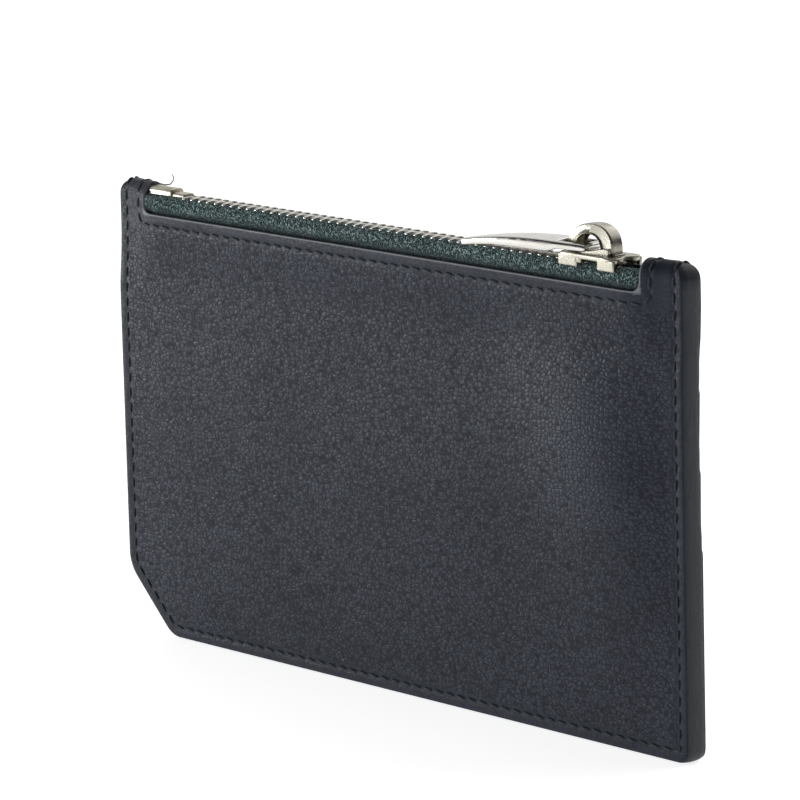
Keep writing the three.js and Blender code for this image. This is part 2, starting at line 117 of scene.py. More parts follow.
# ---- Outline ----
def rounded(corners, samples=9):
    """An open chain of points through corners [x, z, radius], each corner rounded by a quadratic curve."""
    points = []
    for i, (x, z, radius) in enumerate(corners):
        here = np.array([x, z])
        if radius == 0 or i in (0, len(corners) - 1):
            points.append(here)
            continue
        before, after = np.array(corners[i - 1][:2]) - here, np.array(corners[i + 1][:2]) - here
        before, after = before / np.linalg.norm(before), after / np.linalg.norm(after)
        cut = radius / math.tan(math.acos(float(np.clip(before @ after, -1, 1))) / 2)
        start, end = here + before * cut, here + after * cut
        for t in np.linspace(0, 1, samples):
            points.append((1 - t) ** 2 * start + 2 * t * (1 - t) * here + t * t * end)
    return np.array(points)


def lower_outline(inset, top):
    """The outline from the top left, down round the cut corner and the bottom, up to the top right."""
    side = HALF_WIDTH - inset
    cut = CHAMFER + inset * (math.sqrt(2) - 2)
    return rounded(
        [
            (-side, top, 0),
            (-side, inset + cut, max(CHAMFER_UPPER_R - inset, 0.5)),
            (-side + cut, inset, max(CHAMFER_LOWER_R - inset, 0.5)),
            (side, inset, max(BOTTOM_RIGHT_R - inset, 0.5)),
            (side, top, 0),
        ]
    )


def chain_lengths(points):
    return np.concatenate([[0], np.cumsum(np.linalg.norm(np.diff(points, axis=0), axis=1))])


def along_chain(points, at):
    """The places on a chain at the given lengths."""
    lengths = chain_lengths(points)
    return np.column_stack([np.interp(at, lengths, points[:, k]) for k in range(points.shape[1])])


def resample(points, step):
    """The same chain with points every step."""
    total = chain_lengths(points)[-1]
    count = max(2, int(round(total / step)) + 1)
    return along_chain(points, np.linspace(0, total, count))


def distance_to(points, x, z):
    """Distance from each place to a chain of closely spaced points."""
    flat_x, flat_z = np.ravel(x), np.ravel(z)
    found = np.empty(flat_x.shape)
    for i in range(0, len(flat_x), 4000):
        dx = flat_x[i : i + 4000, None] - points[None, :, 0]
        dz = flat_z[i : i + 4000, None] - points[None, :, 1]
        found[i : i + 4000] = np.sqrt((dx * dx + dz * dz).min(axis=1))
    return found.reshape(np.shape(x))


def smooth_min(a, b, k):
    h = np.maximum(k - np.abs(a - b), 0) / k
    return np.minimum(a, b) - h * h * k / 4


def inset_at(x, z):
    """How far a place lies inside the sides, the cut corner and the bottom."""
    cut = (x + HALF_WIDTH + z - CHAMFER) / math.sqrt(2)
    left = smooth_min(x + HALF_WIDTH, cut, CUT_UPPER_BLEND)
    left = smooth_min(left, z, CUT_LOWER_BLEND)
    return smooth_min(left, HALF_WIDTH - x, BOTTOM_RIGHT_R)


# ---- The folded wall ----
# A place on the fold is (x, w): w climbs the front from 0, goes over the top, and runs down the back.
def fold(w):
    phi = np.pi * clamp01((w - ARCH_SPRING_Z) / ARCH_LENGTH)
    z = np.where(w > FOLD_TOP, FOLD_LENGTH - w, w)
    over = (phi > 0) & (phi < np.pi)
    return np.where(over, ARCH_SPRING_Z + ARCH_RISE * np.sin(phi), z), phi


def half_thickness(x, z):
    along = 1 - smoothstep(np.abs(x), FLARE_FULL_X, FLARE_NONE_X)
    up = smoothstep(z, FLARE_FROM_Z, WINDOW_Z)
    ear = smoothstep(z, EAR_PUFF_FROM_Z, WINDOW_Z)
    return HALF_SHELL + FLARE * along * up + EAR_PUFF * ear * (1 - along)


perimeter_front = resample(lower_outline(SEAM_INSET, FOLD_TOP), PATH_STEP)
perimeter_back = perimeter_front * [1, -1] + [0, FOLD_LENGTH]
zip_low = WINDOW_Z - ZIP_SEAM_INSET
zip_half = WINDOW_HALF + ZIP_SEAM_INSET
zip_loop = resample(
    rounded(
        [
            (0, zip_low, 0),
            (zip_half, zip_low, ZIP_SEAM_R),
            (zip_half, FOLD_LENGTH - zip_low, ZIP_SEAM_R),
            (-zip_half, FOLD_LENGTH - zip_low, ZIP_SEAM_R),
            (-zip_half, zip_low, ZIP_SEAM_R),
            (0, zip_low, 0),
        ]
    ),
    PATH_STEP,
)
slot_end = HALF_WIDTH - SEAM_INSET - SLOT_SEAM_SHORT
slot_paths = {}
for slot_name, mouth in SLOT_MOUTHS.items():
    seam_w = FOLD_LENGTH - mouth + SLOT_SEAM_DROP
    slot_paths[slot_name] = resample(np.array([[-slot_end, seam_w], [slot_end, seam_w]]), PATH_STEP)


def stitch_centres(path):
    """The length along the path at each stitch's middle, and the pitch."""
    total = chain_lengths(path)[-1]
    count = int(round(total / STITCH_PITCH))
    return (np.arange(count) + 0.5) * total / count, total / count


def stitch_holes(path):
    centres, pitch = stitch_centres(path)
    return along_chain(path, centres - pitch / 2)


shell_seams = [perimeter_front, perimeter_back, zip_loop]
shell_holes = np.vstack([stitch_holes(p) for p in shell_seams])


def soft_relief(x, w):
    """How far the leather swells from its flat planes, seams left out."""
    z = fold(w)[0]
    inset = inset_at(x, z)
    below_zip = zip_low - z
    free = np.clip(np.minimum(inset - SEAM_INSET, below_zip + 1.0), 0, None)
    puff = 1 - np.exp(-((free / PUFF_REACH) ** 1.3))
    front = FACE_PUFF + sum(h * hill(x, z, *where) for h, *where in FRONT_SWELLS)
    back = FACE_PUFF + sum(h * hill(x, z, *where) for h, *where in BACK_SWELLS)
    ripple = 0.025 * np.sin(x / 6.3 + 1.3 * np.sin(z / 9.0)) + 0.02 * np.sin(z / 5.1 + 0.8 * np.sin(x / 8.0))
    roll = -0.20 * clamp01(1 - inset / 0.55) ** 2
    creases = 0.035 * np.sin(z / 0.83 + 2.0 * np.sin(z / 3.7)) * clamp01(1 - np.abs(inset - 1.0) / 0.9)
    return puff * (np.where(w < FOLD_TOP, front, back) + ripple) + roll + creases


def seam_relief(x, w, seams, holes):
    """The groove that the stitches pull in, the low bank beside it, and the needle holes."""
    line = np.min([distance_to(p, x, w) for p in seams], axis=0)
    hole = distance_to(holes, x, w)
    return (
        -GROOVE_DEPTH * np.exp(-((line / GROOVE_HALF) ** 2))
        + BANK_HEIGHT * np.exp(-(((line - BANK_AT) / BANK_HALF) ** 2))
        - HOLE_DEPTH * np.exp(-((hole / HOLE_HALF) ** 2))
    )


def lean(x, w):
    """How far the wall stands back towards +Y beside the two sides, where the edge is sewn flat."""
    z, phi = fold(w)
    near_end = smoothstep(np.abs(x), LEAN_FROM_X, LEAN_FULL_X)
    front = np.where(x < 0, LEAN_LEFT, LEAN_RIGHT) * smoothstep(z, LEAN_FROM_Z, LEAN_FULL_Z)
    back = np.interp(z, BACK_LEAN_Z, BACK_LEAN)
    turned_over = phi / np.pi
    return near_end * (front * (1 - turned_over) + back * turned_over)


def wall_point(x, w, lift=0.0):
    """The place on the leather's outside at (x, w), and the way it faces."""
    z, phi = fold(w)
    half = half_thickness(x, np.minimum(z, WINDOW_Z))
    normal = np.stack([np.zeros_like(x * w * 1.0), -np.cos(phi) + 0 * x, np.sin(phi) + 0 * x], axis=-1)
    base = np.stack([x + 0 * w, -half * np.cos(phi) + lean(x, w), z + 0 * x], axis=-1)
    return base + normal * np.asarray(lift)[..., None], normal


def slot_lift(w):
    """How much the card slots add to the back wall at each height."""
    z = FOLD_LENGTH - np.asarray(w, float)
    lift = np.zeros_like(z)
    for i, mouth in enumerate(SLOT_MOUTHS.values()):
        lift = np.where(z <= mouth, SLOT_CLEAR + i * SLOT_STEP + SLOT_THICK, lift)
    return np.where(w > FOLD_TOP, lift, 0.0)


# ---- Meshes ----
def make_object(name, vertices, faces):
    mesh = bpy.data.meshes.new(name)
    mesh.from_pydata((np.asarray(vertices, float) * MM).tolist(), [], [list(map(int, f)) for f in faces])
    mesh.validate()
    mesh.update()
    mesh.polygons.foreach_set("use_smooth", [True] * len(mesh.polygons))
    obj = bpy.data.objects.new(name, mesh)
    bpy.context.scene.collection.objects.link(obj)
    return obj


def fix_normals(obj):
    bm = bmesh.new()
    bm.from_mesh(obj.data)
    bmesh.ops.recalc_face_normals(bm, faces=bm.faces[:])
    bm.to_mesh(obj.data)
    bm.free()


def finish_piece(obj, body, materials, replaces):
    for material in materials:
        obj.data.materials.append(material)
    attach(obj, body)
    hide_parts(*replaces)


def grid_faces(rows, cols, keep=None, closed_cols=False):
    r, c = np.meshgrid(np.arange(rows - 1), np.arange(cols if closed_cols else cols - 1), indexing="ij")
    if keep is not None:
        r, c = r[keep], c[keep]
    r, c = r.ravel(), c.ravel()
    n = (c + 1) % cols
    return np.column_stack([r * cols + c, r * cols + n, (r + 1) * cols + n, (r + 1) * cols + c])


def tube_faces(rows, cols):
    """The faces round a tube of rings, and one across each end."""
    last = (rows - 1) * cols
    caps = [list(range(cols))[::-1], list(range(last, last + cols))]
    return grid_faces(rows, cols, closed_cols=True).tolist() + caps


def drop_unused(vertices, faces, *values):
    used = np.unique(faces)
    index = np.full(len(vertices), -1)
    index[used] = np.arange(len(used))
    return (vertices[used], index[faces], *[v[used] for v in values])


def add_values(obj, name, values):
    attribute = obj.data.attributes.new(name, "FLOAT", "POINT")
    attribute.data.foreach_set("value", np.asarray(values, np.float32))


def modifier(obj, kind, **settings):
    made = obj.modifiers.new(kind.title(), kind)
    for key, value in settings.items():
        setattr(made, key, value)


def prism(outline, low, high, bevel, segments=3):
    """A closed block: an outline in X and Y between two heights, its edges rounded."""
    bm = bmesh.new()
    lower = [bm.verts.new((x, y, low)) for x, y in outline]
    upper = [bm.verts.new((x, y, high)) for x, y in outline]
    count = len(outline)
    bm.faces.new(lower[::-1])
    bm.faces.new(upper)
    for i in range(count):
        j = (i + 1) % count
        bm.faces.new((lower[i], lower[j], upper[j], upper[i]))
    bmesh.ops.recalc_face_normals(bm, faces=bm.faces[:])
    sharp = [e for e in bm.edges if e.calc_face_angle(0) > math.radians(35)]
    bmesh.ops.bevel(
        bm, geom=sharp, offset=bevel, segments=segments, profile=0.5, affect="EDGES", clamp_overlap=True
    )
    bm.verts.index_update()
    vertices = np.array([v.co[:] for v in bm.verts])
    faces = [[v.index for v in f.verts] for f in bm.faces]
    bm.free()
    return vertices, faces


def merge(parts):
    vertices, faces, start = [], [], 0
    for v, f in parts:
        vertices.append(np.asarray(v, float))
        faces += [[i + start for i in face] for face in f]
        start += len(v)
    return np.vstack(vertices), faces


def turned(part, order, signs=(1, 1, 1)):
    """The same block with its axes renamed, so that an outline can be drawn in any plane."""
    v, f = part
    flips = np.linalg.det(np.eye(3)[:, list(order)]) * np.prod(signs) < 0
    return v[:, list(order)] * signs, [face[::-1] for face in f] if flips else f


# ---- Materials ----
def node_material(name, color, roughness, metallic=0.0):
    material = bpy.data.materials.new(name)
    material.use_nodes = True
    tree = material.node_tree
    shader = tree.nodes["Principled BSDF"]
    feed(tree, shader, {"Base Color": (*color, 1), "Roughness": roughness, "Metallic": metallic})
    material.diffuse_color = (*color, 1)
    return material, tree, shader


def feed(tree, made, inputs):
    """Links each input that is another node's output, and sets the others."""
    for key, value in inputs.items():
        if isinstance(value, bpy.types.NodeSocket):
            tree.links.new(value, made.inputs[key])
        else:
            made.inputs[key].default_value = value


def node(tree, kind, inputs, **settings):
    made = tree.nodes.new(kind)
    for key, value in settings.items():
        setattr(made, key, value)
    feed(tree, made, inputs)
    return made


def math_node(tree, operation, a, b):
    return node(tree, "ShaderNodeMath", {0: a, 1: b}, operation=operation).outputs[0]


def place(tree, scale=(1, 1, 1)):
    """Object coordinates in millimetres, times a scale."""
    coordinates = node(tree, "ShaderNodeTexCoord", {}).outputs["Object"]
    per_metre = tuple(s / MM for s in scale)
    return node(tree, "ShaderNodeMapping", {"Vector": coordinates, "Scale": per_metre}).outputs[0]


def noise(tree, scale, detail=2.0, rough=0.5):
    """Cloudy values between 0 and 1, with so many clouds in a millimetre each way."""
    inputs = {"Vector": place(tree, scale), "Scale": 1.0, "Detail": detail, "Roughness": rough}
    return node(tree, "ShaderNodeTexNoise", inputs).outputs["Fac"]


def ramp(tree, value, low, high, to_low=0.0, to_high=1.0):
    return node(
        tree,
        "ShaderNodeMapRange",
        {"Value": value, "From Min": low, "From Max": high, "To Min": to_low, "To Max": to_high},
        interpolation_type="SMOOTHSTEP",
    ).outputs["Result"]


def mix_color(tree, share, a, b):
    """From colour a to colour b, by a share."""
    a, b = (c if isinstance(c, bpy.types.NodeSocket) else (*c, 1) for c in (a, b))
    return node(tree, "ShaderNodeMix", {0: share, 6: a, 7: b}, data_type="RGBA").outputs[2]


def bump(tree, height, distance, strength=1.0):
    inputs = {"Height": height, "Distance": distance * MM, "Strength": strength}
    return node(tree, "ShaderNodeBump", inputs).outputs["Normal"]


def times(tree, a, b):
    return math_node(tree, "MULTIPLY", a, b)


def weighted(tree, *terms):
    """The sum of values, each times its share."""
    total = None
    for value, share in terms:
        part = times(tree, value, share)
        total = part if total is None else math_node(tree, "ADD", total, part)
    return total


def stored_value(tree, name):
    """A value kept at each of the mesh's points."""
    return node(tree, "ShaderNodeAttribute", {}, attribute_name=name).outputs["Fac"]


def leather_material():
    """Navy leather with a pebbled grain, smoother where a seam or fold has stretched it."""
    base, dark, light = (0.0185, 0.024, 0.0405), (0.003, 0.004, 0.008), (0.027, 0.0335, 0.0535)
    # Pale colour for the zip window's rim: mostly a painted highlight of the lit edge, partly wear
    wear_and_highlight = (0.20, 0.21, 0.23)
    material, tree, shader = node_material("navy_leather", base, 0.5)
    flat = place(tree)
    drift = {"Vector": flat, "Scale": 0.55, "Detail": 2.0}
    wander = node(tree, "ShaderNodeTexNoise", drift).outputs["Color"]
    reach = (0.9, 0.9, 0.9)
    shift = node(tree, "ShaderNodeVectorMath", {0: wander, 1: reach}, operation="MULTIPLY").outputs[0]
    moved = node(tree, "ShaderNodeVectorMath", {0: flat, 1: shift}, operation="ADD").outputs[0]
    pebble_size = (0.92, 6, 0.66)
    cells_at = node(
        tree, "ShaderNodeMapping", {"Vector": moved, "Scale": tuple(1 / size for size in pebble_size)}
    ).outputs[0]
    edge = node(
        tree,
        "ShaderNodeTexVoronoi",
        {"Vector": cells_at, "Scale": 1.0, "Randomness": 0.6},
        feature="DISTANCE_TO_EDGE",
    ).outputs["Distance"]
    pebble = ramp(tree, edge, 0.0, 0.42)
    crease = ramp(tree, edge, 0.0, 0.17, 1.0, 0.0)
    wrinkles = noise(tree, (1.9, 1.9, 2.4), 3.0, 0.6)
    pores = noise(tree, (7, 7, 7), 2.0, 0.6)
    amount = stored_value(tree, "grain")
    smooth_part = math_node(tree, "SUBTRACT", 1.0, amount)
    folds = noise(tree, (0.5, 1, 2.6), 3.0, 0.65)
    creased = times(tree, folds, smooth_part)
    height = weighted(tree, (pebble, amount), (wrinkles, 0.16), (pores, 0.04), (creased, 0.55))
    broad = noise(tree, (0.05, 0.05, 0.05), 3.0)
    colour = mix_color(tree, ramp(tree, broad, 0.35, 0.65), base, light)
    # Painted shade: the grain's creases are darkened in colour
    crease_shade = times(tree, crease, times(tree, amount, 0.8))
    colour = mix_color(tree, crease_shade, colour, dark)
    colour = mix_color(tree, times(tree, smooth_part, 0.35), colour, dark)
    # Painted highlight along the zip window's rim, partly wear
    colour = mix_color(tree, stored_value(tree, "window_rim"), colour, wear_and_highlight)
    rough = ramp(tree, wrinkles, 0.3, 0.7, 0.36, 0.46)
    rough = math_node(tree, "ADD", rough, times(tree, crease, 0.25))
    rough = math_node(tree, "SUBTRACT", rough, times(tree, smooth_part, 0.05))
    finish = {
        "Normal": bump(tree, height, 0.048, 1.0),
        "Base Color": colour,
        "Roughness": rough,
        "Specular IOR Level": 0.19,
    }
    feed(tree, shader, finish)
    return material


def edge_material():
    base, wear_and_highlight = (0.012, 0.0145, 0.020), (0.028, 0.031, 0.038)
    material, tree, shader = node_material("edge_paint", base, 0.4)
    along = noise(tree, (0.3, 1.6, 0.3), 3.0, 0.6)
    fine = noise(tree, (3, 3, 3), 3.0, 0.6)
    height = weighted(tree, (along, 1.0), (fine, 0.25))
    finish = {
        "Base Color": mix_color(tree, ramp(tree, along, 0.55, 0.8), base, wear_and_highlight),
        "Roughness": ramp(tree, fine, 0.3, 0.7, 0.34, 0.5),
        "Normal": bump(tree, height, 0.10, 0.6),
        "Specular IOR Level": 0.35,
    }
    feed(tree, shader, finish)
    return material


def cut_edge_material():
    """The leather's cut edge: dark where it is painted; pale round the zip window, a dry cut edge with a
    painted highlight of the lit rim.
    """
    painted, pale_cut_and_highlight = (0.014, 0.016, 0.020), (0.16, 0.165, 0.185)
    material, tree, shader = node_material("cut_edge", painted, 0.6)
    fibres = ramp(tree, noise(tree, (1.3, 5, 5), 3.0, 0.6), 0.25, 0.75, 0.55, 1.0)
    # Pale colour round the window: a painted highlight of the lit rim on a dry cut edge
    share = times(tree, stored_value(tree, "window_rim"), fibres)
    finish = {
        "Base Color": mix_color(tree, share, painted, pale_cut_and_highlight),
        "Normal": bump(tree, fibres, 0.05, 0.6),
    }
    feed(tree, shader, finish)
    return material


def thread_material():
    base, light = (0.020, 0.027, 0.032), (0.075, 0.10, 0.10)
    material, tree, shader = node_material("thread", base, 0.62)
    twist = node(
        tree,
        "ShaderNodeTexWave",
        {"Vector": place(tree), "Scale": 2.2, "Distortion": 1.5, "Detail": 1.0},
        bands_direction="DIAGONAL",
    ).outputs["Fac"]
    fibres = noise(tree, (12, 12, 12), 2.0)
    fuzz = times(tree, twist, fibres)
    height = weighted(tree, (twist, 1.0), (fibres, 0.4))
    finish = {
        "Base Color": mix_color(tree, fuzz, base, light),
        "Normal": bump(tree, height, 0.06, 0.8),
        "Specular IOR Level": 0.12,
        "Sheen Weight": 0.08,
    }
    feed(tree, shader, finish)
    return material


def tape_material():
    base, dark, light = (0.060, 0.115, 0.115), (0.008, 0.019, 0.020), (0.42, 0.56, 0.56)
    material, tree, shader = node_material("zip_tape", base, 0.85)
    threads = []
    for scale, pitch, wander, direction in (
        ((1, 0.2, 0.2), 0.72, 1.0, "X"),
        ((0.2, 1, 1), 0.6, 1.5, "DIAGONAL"),
    ):
        wave = {"Vector": place(tree, scale), "Scale": pitch, "Distortion": wander}
        wave |= {"Detail": 1.0, "Detail Scale": 2.0}
        threads.append(node(tree, "ShaderNodeTexWave", wave, bands_direction=direction).outputs["Fac"])
    knots = times(tree, *threads)
    speckle = noise(tree, (3.4, 3.4, 3.4), 3.0, 0.75)
    body = mix_color(tree, ramp(tree, speckle, 0.42, 0.58), dark, base)
    body = mix_color(tree, ramp(tree, speckle, 0.52, 0.63), body, light)
    upright = node(tree, "ShaderNodeSeparateXYZ", {0: place(tree)}).outputs["Z"]
    shaded = ramp(tree, upright, WINDOW_Z + 0.2, WINDOW_Z + 2.5, 0.8, 0.0)
    body = mix_color(tree, shaded, body, dark)
    height = weighted(tree, (knots, 0.6), (speckle, 1.4))
    finish = {
        "Base Color": body,
        "Normal": bump(tree, height, 0.16, 1.0),
        "Specular IOR Level": 0.1,
        "Sheen Weight": 0.12,
        "Sheen Roughness": 0.5,
    }
    feed(tree, shader, finish)
    return material


def lining_material():
    base, light = (0.016, 0.019, 0.026), (0.04, 0.045, 0.055)
    material, tree, shader = node_material("lining", base, 0.85)
    bricks = {"Vector": place(tree), "Scale": 3.0, "Mortar Size": 0.03}
    weave = node(tree, "ShaderNodeTexBrick", bricks).outputs["Fac"]
    fibres = noise(tree, (6, 6, 6), 2.0)
    finish = {
        "Base Color": mix_color(tree, fibres, base, light),
        "Normal": bump(tree, math_node(tree, "ADD", weave, fibres), 0.05, 0.6),
        "Sheen Weight": 0.2,
    }
    feed(tree, shader, finish)
    return material


def metal_material(name, color, roughness, scratch, pitting):
    material, tree, shader = node_material(name, color, roughness, 1.0)
    hairlines = noise(tree, (0.5, 9, 9), 3.0, 0.6)
    cloudy = noise(tree, (0.7, 0.7, 0.7), 3.0, 0.6)
    pits = noise(tree, (5, 5, 5), 2.0, 0.5)
    rough = ramp(tree, cloudy, 0.3, 0.7, roughness * 0.8, roughness * 1.3)
    rough = math_node(tree, "ADD", rough, ramp(tree, hairlines, 0.55, 0.8, 0.0, 0.12))
    warm = tuple(c * f for c, f in zip(color, (0.93, 0.90, 0.84)))
    height = weighted(tree, (hairlines, scratch), (pits, pitting))
    finish = {
        "Roughness": rough,
        "Base Color": mix_color(tree, ramp(tree, cloudy, 0.4, 0.75), color, warm),
        "Normal": bump(tree, height, 0.02, 0.6),
    }
    feed(tree, shader, finish)
    return material


NAVY = leather_material()
EDGE = edge_material()
CUT_EDGE = cut_edge_material()
THREAD = thread_material()
TAPE = tape_material()
LINING = lining_material()
POLISHED = metal_material("polished_nickel", (0.66, 0.65, 0.62), 0.16, 0.5, 0.5)
CAST = metal_material("cast_nickel", (0.40, 0.385, 0.33), 0.27, 0.6, 1.6)
CHAIN_METAL = metal_material("chain_metal", (0.60, 0.59, 0.56), 0.22, 0.4, 1.0)
STOP_METAL = metal_material("stop_metal", (0.60, 0.565, 0.47), 0.42, 0.6, 2.5)


# ---- Outer shell: one sheet of leather, folded over the top, with the zip window ----
EDGE_INSET = 0.18
low_rows = np.concatenate([ROWS_AT_FOOT, np.arange(1.45, 5.0, 0.3)])
outline_chain = lower_outline(EDGE_INSET, ARCH_SPRING_Z)
top_round = rounded(
    [(HALF_WIDTH, ARCH_SPRING_Z - 1, 0), (HALF_WIDTH, HEIGHT, TOP_R), (HALF_WIDTH - 6, HEIGHT, 0)], 12
)
left_chain = outline_chain[outline_chain[:, 0] < 0]
right_chain = outline_chain[outline_chain[:, 0] > 0]


def top_taper(z):
    """How far the rounded top corners stand in from the sides at a height."""
    return HALF_WIDTH - np.interp(z, top_round[:-1, 1], top_round[:-1, 0])


def side_limits(z):
    """The leather's left and right ends at a height."""
    left = np.interp(z, left_chain[::-1, 1], left_chain[::-1, 0])
    right = np.interp(z, right_chain[:, 1], right_chain[:, 0])
    return left + top_taper(z), right - top_taper(z)


def shell_rows():
    """The heights of the shell's rows along the fold, close together at the seams and folds."""
    middle = np.arange(5.0, 63.5, 0.8)
    high = np.append(np.linspace(63.5, WINDOW_Z - 0.3, 19), WINDOW_Z - 0.12)
    collar = np.linspace(WINDOW_Z, ARCH_SPRING_Z, 8)[:-1]
    front = np.concatenate([low_rows, middle, high, collar])
    arch = np.linspace(ARCH_SPRING_Z, ARCH_SPRING_Z + ARCH_LENGTH, 19)
    return np.concatenate([front, arch, FOLD_LENGTH - front[::-1]])


def sheet_grid(w_rows):
    """Rows of places across the wall: strips beside the two sides, and a middle between them."""
    z_rows = fold(w_rows)[0]
    left, right = side_limits(z_rows)
    strip = np.linspace(0, STRIP, STRIP_COLUMNS)
    inner_left = np.where(z_rows < 30, left + STRIP, -WINDOW_HALF)
    inner_right = np.where(z_rows < 30, right - STRIP, WINDOW_HALF)
    t = np.linspace(0, 1, MIDDLE_COLUMNS)[1:-1]
    x_left = left[:, None] + (inner_left - left)[:, None] * strip / STRIP
    x_middle = inner_left[:, None] + (inner_right - inner_left)[:, None] * t
    x_right = right[:, None] - (right - inner_right)[:, None] * strip[::-1] / STRIP
    x = np.hstack([x_left, x_middle, x_right])
    return x, np.repeat(w_rows[:, None], x.shape[1], axis=1)


def round_window(x, w):
    """Moves the places beside the window's corners, so that its corners are round."""
    x, w = x.copy(), w.copy()
    for side in (-1, 1):
        for low, corner_w in ((True, WINDOW_Z), (False, FOLD_LENGTH - WINDOW_Z)):
            up = 1 if low else -1
            a = WINDOW_HALF - side * x  # along the window's long edge, inwards
            b = (w - corner_w) * up  # up its short edge
            edge_a, edge_b = np.clip(a, 0, WINDOW_R), np.clip(b, 0, WINDOW_R)
            turn = np.radians(225 + 45 * (edge_a - edge_b) / WINDOW_R)
            arc_a = WINDOW_R * (1 + np.cos(turn))
            arc_b = WINDOW_R * (1 + np.sin(turn))
            outside = np.maximum(-a, 0) + np.maximum(-b, 0)
            past_corner = np.maximum(np.maximum(a, b) - WINDOW_R, 0)
            away = np.hypot(outside, past_corner * 3)
            share = clamp01(1 - away / 2.2) ** 2
            near = (np.maximum(a, b) < WINDOW_R * 1.4) & (np.minimum(a, b) <= 1e-6)
            share = np.where(near, share, 0)
            x = x - side * (arc_a - edge_a) * share
            w = w + up * (arc_b - edge_b) * share
    return x, w


w_rows = shell_rows()
grid_x, grid_w = sheet_grid(w_rows)
cell_x = (grid_x[:-1, :-1] + grid_x[1:, 1:]) / 2
cell_w = (grid_w[:-1, :-1] + grid_w[1:, 1:]) / 2
in_window = (np.abs(cell_x) < WINDOW_HALF) & (np.abs(cell_w - FOLD_TOP) < FOLD_TOP - WINDOW_Z)
place_x, place_w = round_window(grid_x, grid_w)
relief = soft_relief(place_x, place_w) + seam_relief(place_x, place_w, shell_seams, shell_holes)
shell_points, _ = wall_point(place_x, place_w, relief)
place_z = fold(place_w)[0]
past_seams = np.minimum(inset_at(place_x, place_z) - SEAM_INSET, zip_low - place_z)
grain = 0.25 + 0.75 * smoothstep(past_seams, 0.2, 1.2)
# The band along the zip window's edge that gets the pale painted-highlight colour
window_rim = smoothstep(place_z, WINDOW_Z - 0.31, WINDOW_Z - 0.12) * smoothstep(
    -np.abs(place_x), -WINDOW_HALF - 0.3, -WINDOW_HALF
)
vertices, faces, grain, window_rim = drop_unused(
    shell_points.reshape(-1, 3),
    grid_faces(*grid_x.shape, keep=~in_window),
    grain.ravel(),
    window_rim.ravel(),
)
shell = make_object("shell_leather", vertices, faces)
add_values(shell, "grain", grain)
add_values(shell, "window_rim", window_rim)
modifier(shell, "SOLIDIFY", thickness=LEATHER * MM, offset=-1, use_rim=True, material_offset_rim=1)
finish_piece(shell, "card_holder", [NAVY, CUT_EDGE], ["outer_shell"])

# ---- Edge: the filler between the walls, with its rounded painted edge ----
EDGE_BULGE, WELT_WIDTH, EDGE_TUCK = 0.36, 3.3, 0.18
SLOT_FADE = 5.5
arch_phi = np.linspace(math.pi / 2, 0, 12)[:-1]


def edge_chain(inset):
    """The outline from the left ear's top round to the right ear's, with long stretches divided."""
    arch_z = ARCH_SPRING_Z + ARCH_RISE * np.sin(arch_phi)
    side = HALF_WIDTH - inset - top_taper(arch_z)
    low = lower_outline(inset, ARCH_SPRING_Z)
    divided = [low[:1]]
    for a, b in zip(low[:-1], low[1:]):
        long = np.linalg.norm(b - a)
        count = 56 if long > 100 else 44 if long > 40 else 8 if long > 8 else 1
        t = np.linspace(0, 1, count + 1)[1:, None]
        divided.append(a + (b - a) * t)
    left = np.column_stack([-side, arch_z])
    right = np.column_stack([side, arch_z])[::-1]
    return np.vstack([left, *divided, right])


outer = edge_chain(0.0)
deep = edge_chain(WELT_WIDTH)
phi = np.concatenate([arch_phi, np.zeros(len(outer) - 2 * len(arch_phi)), arch_phi[::-1]])
edge_x = outer[:, 0] * (HALF_WIDTH - 0.2) / HALF_WIDTH
edge_z = outer[:, 1]
half = half_thickness(edge_x, np.minimum(edge_z, WINDOW_Z))
front_w = np.where(phi > 0, ARCH_SPRING_Z + ARCH_LENGTH * phi / np.pi, edge_z)
front_y = -(half - EDGE_TUCK) * np.cos(phi) + lean(edge_x, front_w)
slots_here = sum(
    step * smoothstep(mouth + SLOT_FADE - edge_z, 0.0, SLOT_FADE)
    for step, mouth in zip((SLOT_CLEAR + SLOT_THICK, SLOT_STEP, SLOT_STEP), SLOT_MOUTHS.values())
)
back_y = (half - EDGE_TUCK) * np.cos(phi) + lean(edge_x, FOLD_LENGTH - front_w) + slots_here
inward = deep - outer
inward = inward / np.maximum(np.linalg.norm(inward, axis=1), 1e-9)[:, None]
theta = np.radians(np.linspace(-90, 90, 17))
reach = EDGE_BULGE * (1 - np.cos(theta) ** 0.75)
centre, width = (front_y + back_y) / 2, (back_y - front_y) / 2
rim_wave = 0.03 * np.sin(np.arange(len(outer)) * 0.9) + 0.02 * np.sin(np.arange(len(outer)) * 2.3)
rings = []
for i in range(len(outer)):
    depth = np.maximum(reach + rim_wave[i] * np.cos(theta), 0)
    xz = outer[i] + inward[i] * depth[:, None]
    y = centre[i] + width[i] * np.sin(theta)
    ring = [np.array([p[0], q, p[1]]) for p, q in zip(xz, y)]
    under = max(0.05, 1 - 0.75 / max(width[i], 0.8))
    share = smoothstep(ARCH_SPRING_Z + 1.4 - edge_z[i], 0.0, 1.4) * 0.95 + 0.05
    for side in (1, -1):
        point = outer[i] + (deep[i] - outer[i]) * share
        ring.append(np.array([point[0], centre[i] + side * width[i] * under, point[1]]))
    rings.append(ring)
rings = np.array(rings)
faces = [face[::-1] for face in tube_faces(*rings.shape[:2])]
edge_band = make_object("painted_edge", rings.reshape(-1, 3), faces)
fix_normals(edge_band)
finish_piece(edge_band, "card_holder", [EDGE], ["seam_welt"])

